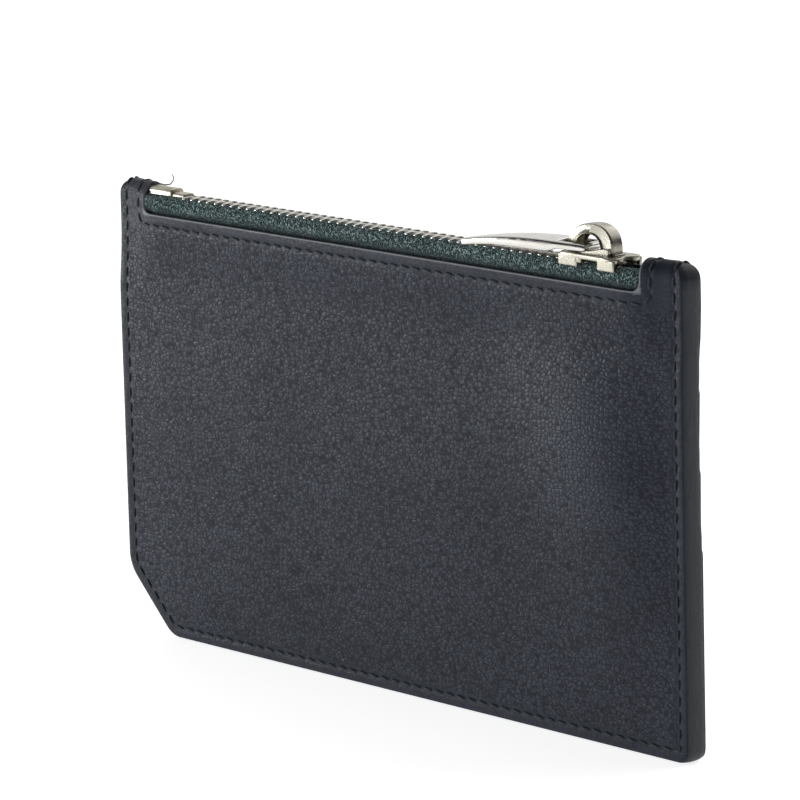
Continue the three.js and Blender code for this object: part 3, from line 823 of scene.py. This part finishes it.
# ---- Card slots on the back ----
for i, (slot_name, mouth) in enumerate(SLOT_MOUTHS.items()):
    z_rows = np.concatenate([low_rows, np.arange(5, mouth - 4, 0.9), np.linspace(mouth - 4, mouth, 15)])
    x, w = sheet_grid(FOLD_LENGTH - z_rows)
    z = fold(w)[0]
    x = x * (1 - 0.012 * smoothstep(z, mouth - 2.5, mouth))
    seams = [perimeter_back, slot_paths[slot_name]]
    relief = soft_relief(x, w) + seam_relief(x, w, seams, np.vstack([stitch_holes(p) for p in seams]))
    inset = inset_at(x, z)
    gape = 0.10 * np.exp(-(mouth - z) / 2.5) * smoothstep(inset, 3, 16)
    roll = -0.10 * clamp01(1 - (mouth - z) / 0.35) ** 2
    lift = relief + SLOT_CLEAR + i * SLOT_STEP + SLOT_THICK + gape + roll
    points, _ = wall_point(x, w, lift)
    grain = smoothstep(np.minimum(inset - SEAM_INSET, mouth - SLOT_SEAM_DROP - z), 0.35, 1.7)
    panel = make_object("card_slot_panel_" + slot_name, points.reshape(-1, 3), grid_faces(*x.shape)[:, ::-1])
    add_values(panel, "grain", grain.ravel())
    modifier(panel, "SOLIDIFY", thickness=SLOT_THICK * MM, offset=-1, use_rim=True, material_offset_rim=1)
    finish_piece(panel, "card_holder", [NAVY, EDGE], ["card_slot_" + slot_name])


# ---- Stitches ----
def skin(x, w):
    """The outermost leather at (x, w), without its seam grooves."""
    return wall_point(x, w, soft_relief(x, w) + slot_lift(w))


def stitch_line(path, proud=0.10):
    """A row of stitches, each a plump thread that dives into the leather at both its ends."""
    centres = stitch_centres(path)[0]
    half_u = np.array([1.0, 0.86, 0.6, 0.25])
    half_sunk = np.array([-0.24, -0.10, 0.03, 0.07])
    half_size = STITCH_HALF * np.array([0.5, 0.82, 1.0, 1.0])
    u = np.concatenate([-half_u, half_u[::-1]])
    sunk, size = (np.concatenate([half, half[::-1]]) for half in (half_sunk, half_size))
    around = np.radians(np.arange(0, 360, 45))
    stitches = []
    for k, s in enumerate(centres):
        xw = along_chain(path, s + u * STITCH_LENGTH / 2 * (1 + 0.04 * math.sin(7.1 * k)))
        point, normal = skin(xw[:, 0], xw[:, 1])
        along = np.gradient(point, axis=0)
        along /= np.linalg.norm(along, axis=1)[:, None]
        across = np.cross(along, normal)
        across /= np.linalg.norm(across, axis=1)[:, None]
        centre = point + normal * (sunk + proud - 0.11)[:, None]
        centre = centre + across * (STITCH_SLANT * u + 0.02 * math.sin(3.3 * k))[:, None]
        ring = (
            centre[:, None, :]
            + across[:, None, :] * (size[:, None] * np.cos(around))[:, :, None]
            + normal[:, None, :] * (0.72 * size[:, None] * np.sin(around))[:, :, None]
        )
        stitches.append((ring.reshape(-1, 3), tube_faces(len(u), len(around))))
    return merge(stitches)


def tube(points, radius, sides=8):
    """A thin round thread along a chain of points, thinner at its free end."""
    points = np.asarray(points, float)
    along = np.gradient(points, axis=0)
    along /= np.linalg.norm(along, axis=1)[:, None]
    side = np.cross(along, [0.3, 1, 0.2])
    side /= np.linalg.norm(side, axis=1)[:, None]
    up = np.cross(side, along)
    turn = np.linspace(0, 2 * math.pi, sides, endpoint=False)
    size = radius * np.linspace(1, 0.55, len(points))
    ring = points[:, None, :] + size[:, None, None] * (
        side[:, None, :] * np.cos(turn)[None, :, None] + up[:, None, :] * np.sin(turn)[None, :, None]
    )
    return ring.reshape(-1, 3), tube_faces(len(points), sides)


front_stitches = make_object("perimeter_stitches_front", *stitch_line(perimeter_front))
back_stitches = make_object("perimeter_stitches_back", *stitch_line(perimeter_back))
loose_end = tube(
    [
        (-57.3, -0.3, 74.6), (-55.6, -0.3, 74.85), (-53.8, -0.2, 74.7), (-52.7, 0.0, 74.9),
        (-52.1, 0.1, 75.5), (-52.1, 0.2, 76.1), (-52.5, 0.2, 76.5),
    ],
    0.13,
)
zip_stitches = make_object("zip_stitches", *merge([stitch_line(zip_loop), loose_end]))
for obj, replaced in (
    (front_stitches, "perimeter_thread_front"),
    (back_stitches, "perimeter_thread_back"),
    (zip_stitches, "zip_seam_thread"),
):
    fix_normals(obj)
    finish_piece(obj, "card_holder", [THREAD], [replaced])
for slot_name, path in slot_paths.items():
    obj = make_object("slot_stitches_" + slot_name, *stitch_line(path, proud=0.15))
    fix_normals(obj)
    finish_piece(obj, "card_holder", [THREAD], ["slot_thread_" + slot_name])

# ---- Zip tapes and linings ----
def tape_profile(side):
    """One tape: flat inside the wall, then domed over the zip's cord between the ears."""
    inside_z = np.linspace(62, WINDOW_Z - 0.3, 16)
    dome = np.array(
        [
            (1.98, 70.3), (2.32, 70.75), (2.54, 71.3), (2.60, 71.85), (2.52, 72.4),
            (2.28, 72.85), (1.92, 73.14), (1.5, 73.28), (1.15, 73.3),
        ]
    )
    fine = resample(dome, 0.12)
    right_end = np.linspace(DOME_END_X, TAPE_END_X, 8)[1:]
    x = np.concatenate([-right_end[::-1], np.linspace(-DOME_END_X, DOME_END_X, 340), right_end])
    rows_inside, rows_dome = [], []
    for z in inside_z:
        y = half_thickness(x, z) - LEATHER - 0.16
        rows_inside.append(np.column_stack([x, side * y, np.full_like(x, z)]))
    for y, z in fine:
        thread = 0.02 * np.sin(x * 8.1) * math.sin(z * 7.0)
        ends = smoothstep(DOME_END_X - np.abs(x), -0.2, 3.0)
        out = y * (0.86 + 0.14 * ends) + thread
        rows_dome.append(np.column_stack([x, side * out, np.full_like(x, z)]))
    points = np.array(rows_inside + rows_dome)
    keep = np.ones((len(points) - 1, len(x) - 1), bool)
    middle_x = (x[:-1] + x[1:]) / 2
    keep[len(rows_inside) - 1 :, :] = np.abs(middle_x) < DOME_END_X
    faces = grid_faces(*points.shape[:2], keep=keep)
    return drop_unused(points.reshape(-1, 3), faces if side < 0 else faces[:, ::-1])


for name, side in (("front", -1), ("back", 1)):
    tape = make_object("tape_" + name, *tape_profile(side))
    modifier(tape, "SOLIDIFY", thickness=TAPE_THICK * MM, offset=-1, use_rim=True)
    finish_piece(tape, "card_holder", [TAPE], ["zip_tape_" + name])

    z_rows = np.linspace(LINING_LOW_Z, LINING_TOP_Z, 60)
    lining_x, lining_z = np.meshgrid(np.linspace(-LINING_END_X, LINING_END_X, 120), z_rows)
    cut_corner = np.maximum(LINING_LOW_Z + CHAMFER - 1.5 - lining_z, 0)
    from_right = (LINING_END_X - lining_x) / (2 * LINING_END_X)
    lining_x = np.maximum(lining_x, cut_corner * from_right - LINING_END_X)
    soft = 0.04 * np.sin(lining_x / 5.0 + lining_z / 11.0)
    lining_y = half_thickness(lining_x, lining_z) - LEATHER - 0.40 + soft
    points = np.stack([lining_x, side * lining_y, lining_z], axis=-1).reshape(-1, 3)
    faces = grid_faces(*lining_x.shape)
    cloth = make_object("lining_" + name, points, faces if side < 0 else faces[:, ::-1])
    modifier(cloth, "SOLIDIFY", thickness=LINING_THICK * MM, offset=-1, use_rim=True)
    finish_piece(cloth, "card_holder", [LINING], ["pocket_lining_" + name])


# ---- Zip teeth, cords and stops ----
def tooth(x, side):
    """One tooth: a leg over the cord, a rounded shoulder, and a head that passes the middle."""
    section = [
        (1.30, 72.85), (1.84, 73.08), (1.90, 73.26), (1.62, 73.44), (1.10, 73.52),
        (0.50, 73.52), (0.00, 73.47), (-0.38, 73.37), (-0.56, 73.17), (-0.58, 72.90),
        (-0.50, 72.25), (0.50, 72.10), (1.20, 72.30),
    ]
    v, f = prism(section, -TOOTH_HALF, TOOTH_HALF, 0.10, 2)
    y, z, along = v[:, 0], v[:, 1], v[:, 2]
    waist = 1 - 0.16 * np.exp(-(((y - 0.9) / 0.5) ** 2)) + 0.10 * smoothstep(y, 1.3, 2.0)
    placed = np.column_stack([x + along * waist, side * y, z])
    return placed, f


for name, side in (("front", -1), ("back", 1)):
    first = FIRST_TOOTH_X + (PITCH / 2 if side > 0 else 0)
    parts = [tooth(first + i * PITCH, side) for i in range(TOOTH_COUNT)]
    cord_x = np.linspace(first - 0.6, CHAIN_END_X, 120)
    cord = [(x, side * CORD_Y, CORD_Z) for x in cord_x]
    parts.append(tube(cord, CORD_R))
    row = make_object("teeth_row_" + name, *merge(parts))
    fix_normals(row)
    finish_piece(row, "card_holder", [CHAIN_METAL], ["zip_teeth_" + name])

    clamp = prism([(50.4, 1.1), (52.4, 1.1), (52.4, 2.0), (50.4, 2.0)], 71.75, 73.35, 0.22, 3)
    stop = make_object("top_stop_" + name, *turned(clamp, (0, 1, 2), (1, side, 1)))
    fix_normals(stop)
    finish_piece(stop, "card_holder", [STOP_METAL], ["zip_top_stop_" + name])


def rounded_box(x0, x1, y0, y1, z0, z1, bevel, segments):
    return prism([(x0, y0), (x1, y0), (x1, y1), (x0, y1)], z0, z1, bevel, segments)


stop_section = [
    (-1.3, 72.4), (-1.42, 73.2), (-1.36, 73.95), (-1.05, 74.3), (-0.4, 74.4),
    (0.4, 74.4), (1.05, 74.3), (1.36, 73.95), (1.42, 73.2), (1.3, 72.4),
]
rear = prism(stop_section, -56.6, -51.0, 0.16, 3)
stop_foot_z = stop_section[0][1]
lower_section = [(y * 0.82, stop_foot_z + (z - stop_foot_z) * 0.75) for y, z in stop_section]
front = prism(lower_section, -52.0, -48.0, 0.16, 3)
bottom_stop = make_object("bottom_stop", *merge([turned(rear, (2, 0, 1)), turned(front, (2, 0, 1))]))
fix_normals(bottom_stop)
finish_piece(bottom_stop, "card_holder", [STOP_METAL], ["zip_bottom_stop"])


# ---- Slider ----
def plate_outline(rear_half, nose_half, rear_x, nose_x):
    """A plate's plan: narrow at the rear, with two lobes and a notch between them at the nose."""
    waist = rear_x + 0.55 * (nose_x - rear_x)
    half = [
        (rear_x, 0.0), (rear_x, rear_half - 0.7), (rear_x + 0.22, rear_half - 0.2),
        (rear_x + 0.75, rear_half), (rear_x + 3.0, rear_half + 0.03), (waist, rear_half + 0.08),
        (nose_x - 2.6, nose_half - 0.12), (nose_x - 1.5, nose_half), (nose_x - 0.6, nose_half - 0.15),
        (nose_x - 0.1, nose_half - 0.7), (nose_x - 0.05, nose_half - 1.5), (nose_x - 0.35, 0.7),
        (nose_x - 0.9, 0.0),
    ]
    mirrored = [(x, -y) for x, y in half[1:-1][::-1]]
    return half + mirrored


def flange(x0, x1, side, y_out, low, widening=0.0):
    """A side block under the top plate, its edges rounded."""
    y_in = y_out - 0.62
    v, f = prism([(x0, y_in), (x1, y_in), (x1, y_out + widening), (x0, y_out)], low, BLOCK_TOP_Z, 0.22, 3)
    return v * [1, side, 1], f


REAR_X, NOSE_X = 40.35, 52.65
BLOCK_TOP_Z = 74.3
slider_parts = [
    prism(plate_outline(2.68, 3.08, REAR_X, NOSE_X), 73.72, PLATE_TOP_Z, 0.24, 3),
    prism(plate_outline(1.8, 1.85, REAR_X + 0.3, NOSE_X - 0.4), 70.5, 71.3, 0.2, 2),
    prism([(48.7, 0), (50.3, -0.85), (51.6, -0.6), (51.6, 0.6), (50.3, 0.85)], 71.0, BLOCK_TOP_Z, 0.1, 2),
]
for side in (-1, 1):
    slider_parts.append(flange(REAR_X, REAR_X + 3.9, side, 2.70, 72.5))
    slider_parts.append(flange(REAR_X + 3.7, REAR_X + 4.7, side, 2.62, 73.1))
    slider_parts.append(flange(48.9, NOSE_X - 0.25, side, 3.02, 72.5, widening=0.04))
slider_parts.append(rounded_box(40.9, 42.9, -0.9, 0.9, PLATE_TOP_Z - 0.3, PLATE_TOP_Z + 0.28, 0.16, 2))
slider_parts.append(rounded_box(47.6, 50.9, -1.15, 1.15, PLATE_TOP_Z - 0.3, PLATE_TOP_Z + 0.22, 0.16, 2))
wedge = prism([(43.6, 74.4), (50.2, 74.4), (50.2, 75.5), (49.4, 75.6), (45.0, 74.8)], -1.85, -1.25, 0.12, 2)
slider_parts.append(turned(wedge, (0, 2, 1)))
slider = make_object("slider_casting", *merge(slider_parts))
fix_normals(slider)
modifier(slider, "WEIGHTED_NORMAL", keep_sharp=True)
finish_piece(slider, "slider", [CAST], ["slider_body"])


def bezier(p0, p1, p2, p3, count):
    t = np.linspace(0, 1, count)[:, None]
    p0, p1, p2, p3 = map(np.array, (p0, p1, p2, p3))
    return (1 - t) ** 3 * p0 + 3 * t * (1 - t) ** 2 * p1 + 3 * t * t * (1 - t) * p2 + t**3 * p3


FOOT_Z = PLATE_TOP_Z + 0.02
arch_outer = np.vstack(
    [
        bezier((40.82, FOOT_Z), (40.8, 77.4), (43.0, 78.97), (46.2, 78.97), 20),
        bezier((46.2, 78.97), (49.4, 78.97), (50.6, 77.3), (50.32, FOOT_Z), 20)[1:],
    ]
)
arch_inner = np.vstack(
    [
        bezier((42.7, FOOT_Z), (42.7, 76.4), (43.7, 77.25), (45.3, 77.25), 20),
        bezier((45.3, 77.25), (46.9, 77.25), (47.8, 76.4), (47.8, FOOT_Z), 20)[1:],
    ]
)
CROWN_HALF, CROWN_ROUND = 1.18, 0.28
CORNER_ANGLES = np.radians([0, 22.5, 45, 67.5, 90])


def crown_ring(outer_p, inner_p):
    """The crown's cross-section between its outer and inner arch, with four rounded corners."""
    outward = (outer_p - inner_p) / np.linalg.norm(outer_p - inner_p)
    ring = []
    for s in (1, -1):
        end = outer_p if s > 0 else inner_p
        for y_sign in (-s, s):
            turn = CORNER_ANGLES[::-s] if y_sign * s > 0 else CORNER_ANGLES[::s]
            for angle in turn:
                y = (CROWN_HALF - CROWN_ROUND * (1 - math.cos(angle))) * y_sign
                x, z = end - s * outward * CROWN_ROUND * (1 - math.sin(angle))
                ring.append((x, y, z))
    return ring


crown_rows = np.array([crown_ring(*pair) for pair in zip(arch_outer, arch_inner)])
crown = make_object("crown_arch", crown_rows.reshape(-1, 3), tube_faces(*crown_rows.shape[:2]))
fix_normals(crown)
modifier(crown, "WEIGHTED_NORMAL", keep_sharp=True)
finish_piece(crown, "slider", [CAST], ["slider_crown"])


# ---- Pull tab ----
TAB_EYE_END = 5.5


def tab_half_width(u):
    """Half the tab's width at a distance u from its pivot towards the tip."""
    t = clamp01((u - TAB_EYE_END) / (TAB_LENGTH - TAB_EYE_END))
    body = (1 - t) ** 2 * 2.85 + 2 * t * (1 - t) * 2.7 + t * t * 1.25
    end = clamp01((TAB_LENGTH - u) / 0.6)
    return np.where(u < TAB_EYE_END, 2.85, body) * (0.80 + 0.20 * np.sqrt(1 - (1 - end) ** 2))


# The pull's upper and lower faces: distance from the pivot, and height over it.
TAB_TOP = [
    (-0.6, 0.30), (0, 0.5), (3, 0.55), (5, 0.58), (9, 0.62),
    (13, 0.50), (17, 0.18), (21, -0.34), (24, -0.86), (25, -1.05),
]
TAB_LOW = [
    (-0.6, -0.30), (0, -0.5), (3, -0.5), (5.2, -0.55), (6.6, -1.0),
    (10, -1.05), (14, -1.02), (18, -1.14), (22, -1.55), (25, -1.98),
]


def tab_mesh():
    """The leaf, lying towards -X from its pivot, with the eye that takes the crown."""
    stations = np.array(
        [-0.62, -0.45, -0.1, 0.3, 0.5, 0.75, 1.4, 2.4, 3.4, 4.4, 5.1, 5.4, 5.65, 6.3, 7.2, 8.5]
        + list(np.arange(10, 24, 1.4))
        + [24.2, 24.7, 24.95]
    )
    eye_low, eye_high = 4, 11  # the stations that bound the eye
    columns = []
    for u in stations:
        half = float(tab_half_width(u))
        eye = min(1.95, half * 0.68)
        columns.append([half, half - 0.22, (half + eye) / 2, eye + 0.2, eye, eye * 0.5, 0.0])
    columns = np.array(columns)
    across = np.hstack([-columns, columns[:, ::-1][:, 1:]])
    rows, cols = across.shape
    top, low = (np.interp(stations, *zip(*profile)) for profile in (TAB_TOP, TAB_LOW))
    crowned = 1 - (across / np.abs(across).max(axis=1, keepdims=True)) ** 2
    at_rim = np.abs(across) >= np.abs(across[:, :1]) - 1e-9
    up = top[:, None] + 0.10 * crowned - 0.16 * at_rim
    down = low[:, None] - 0.04 * crowned + 0.10 * at_rim
    u_grid = np.repeat(stations[:, None], cols, axis=1)
    upper = np.stack([-u_grid, across, up], axis=-1).reshape(-1, 3)
    lower = np.stack([-u_grid, across, down], axis=-1).reshape(-1, 3)
    keep = np.ones((rows - 1, cols - 1), bool)
    keep[eye_low:eye_high, 4 : cols - 5] = False
    cells = grid_faces(rows, cols, keep=keep)
    total = rows * cols
    faces = cells.tolist() + (cells[:, ::-1] + total).tolist()
    edges = [edge for face in cells.tolist() for edge in zip(face, face[1:] + face[:1])]
    known = set(edges)
    faces += [[b, a, a + total, b + total] for a, b in edges if (b, a) not in known]
    return drop_unused(np.vstack([upper, lower]), np.array(faces))


tab_vertices, tab_faces = tab_mesh()
yaw = math.radians(TAB_YAW)
turn = np.array([[math.cos(yaw), -math.sin(yaw), 0], [math.sin(yaw), math.cos(yaw), 0], [0, 0, 1]])
tab = make_object("polished_pull", tab_vertices @ turn.T + PIVOT, tab_faces)
fix_normals(tab)
modifier(tab, "SUBSURF", levels=2, render_levels=2)
finish_piece(tab, "pull", [POLISHED], ["pull_tab"])

# ---- Floor, light and camera ----
FLOOR_HALF, FLOOR_Z = 4000, -0.02
floor_corners = [(x * FLOOR_HALF, y * FLOOR_HALF, FLOOR_Z) for x, y in ((-1, -1), (1, -1), (1, 1), (-1, 1))]
floor = make_object("floor", floor_corners, [(0, 1, 2, 3)])
floor_material, floor_tree, floor_shader = node_material("pale_floor", (0.93, 0.93, 0.93), 0.9)
floor_finish = {"Specular IOR Level": 0.1, "Emission Color": (1, 1, 1, 1), "Emission Strength": 0.80}
feed(floor_tree, floor_shader, floor_finish)
floor.data.materials.append(floor_material)


def area_light(name, at, towards, size, power):
    data = bpy.data.lights.new(name, "AREA")
    data.shape = "RECTANGLE"
    data.size, data.size_y = size
    data.energy = power
    lamp = bpy.data.objects.new(name, data)
    lamp.location = at
    direction = Vector(towards) - Vector(at)
    lamp.rotation_mode = "QUATERNION"
    lamp.rotation_quaternion = direction.to_track_quat("-Z", "Y")
    bpy.context.scene.collection.objects.link(lamp)


area_light("key_left", (-0.55, -0.33, 0.09), (0.0, 0.0, 0.04), (0.24, 0.17), 1.7)
area_light("overhead", (-0.1, 0.2, 0.9), (0.0, 0.0, 0.05), (0.9, 0.9), 0.5)
area_light("back_top", (0.12, 0.55, 0.60), (0.0, 0.0, 0.06), (0.9, 0.6), 1.6)

world = bpy.data.worlds.new("studio")
bpy.context.scene.world = world
world.use_nodes = True
world_tree = world.node_tree
background = world_tree.nodes["Background"]
direction = node(world_tree, "ShaderNodeTexCoord", {}).outputs["Generated"]
BRIGHT_SIDE = (-0.72, 0.66, 0.2)
DIM, BRIGHT = (0.05, 0.05, 0.055), (1.0, 1.0, 1.0)
towards_bright = node(
    world_tree, "ShaderNodeVectorMath", {0: direction, 1: BRIGHT_SIDE}, operation="DOT_PRODUCT"
).outputs["Value"]
world_color = mix_color(world_tree, ramp(world_tree, towards_bright, 0.1, 0.9), DIM, BRIGHT)
feed(world_tree, background, {"Color": world_color, "Strength": 0.85})

camera_data = bpy.data.cameras.new("camera")
camera_data.sensor_width = 36
camera_data.lens = VIEW_LENS
camera_data.clip_start, camera_data.clip_end = 0.01, 20
camera = bpy.data.objects.new("camera", camera_data)
bpy.context.scene.collection.objects.link(camera)
azimuth, elevation, roll = (math.radians(v) for v in (VIEW_AZIMUTH, VIEW_ELEVATION, VIEW_ROLL))
back = Vector(
    (math.sin(azimuth) * math.cos(elevation), -math.cos(azimuth) * math.cos(elevation), math.sin(elevation))
)
right = Vector((math.cos(azimuth), math.sin(azimuth), 0))
up = back.cross(right)
tilted_right = right * math.cos(roll) + up * math.sin(roll)
tilted_up = up * math.cos(roll) - right * math.sin(roll)
pose = Matrix((tilted_right, tilted_up, back)).transposed().to_4x4()
pose.translation = (Vector(VIEW_AIM) + back * VIEW_DISTANCE) * MM
camera.matrix_world = pose
bpy.context.scene.camera = camera
bpy.context.scene.view_settings.view_transform = "Standard"
bpy.context.scene.view_settings.look = "None"
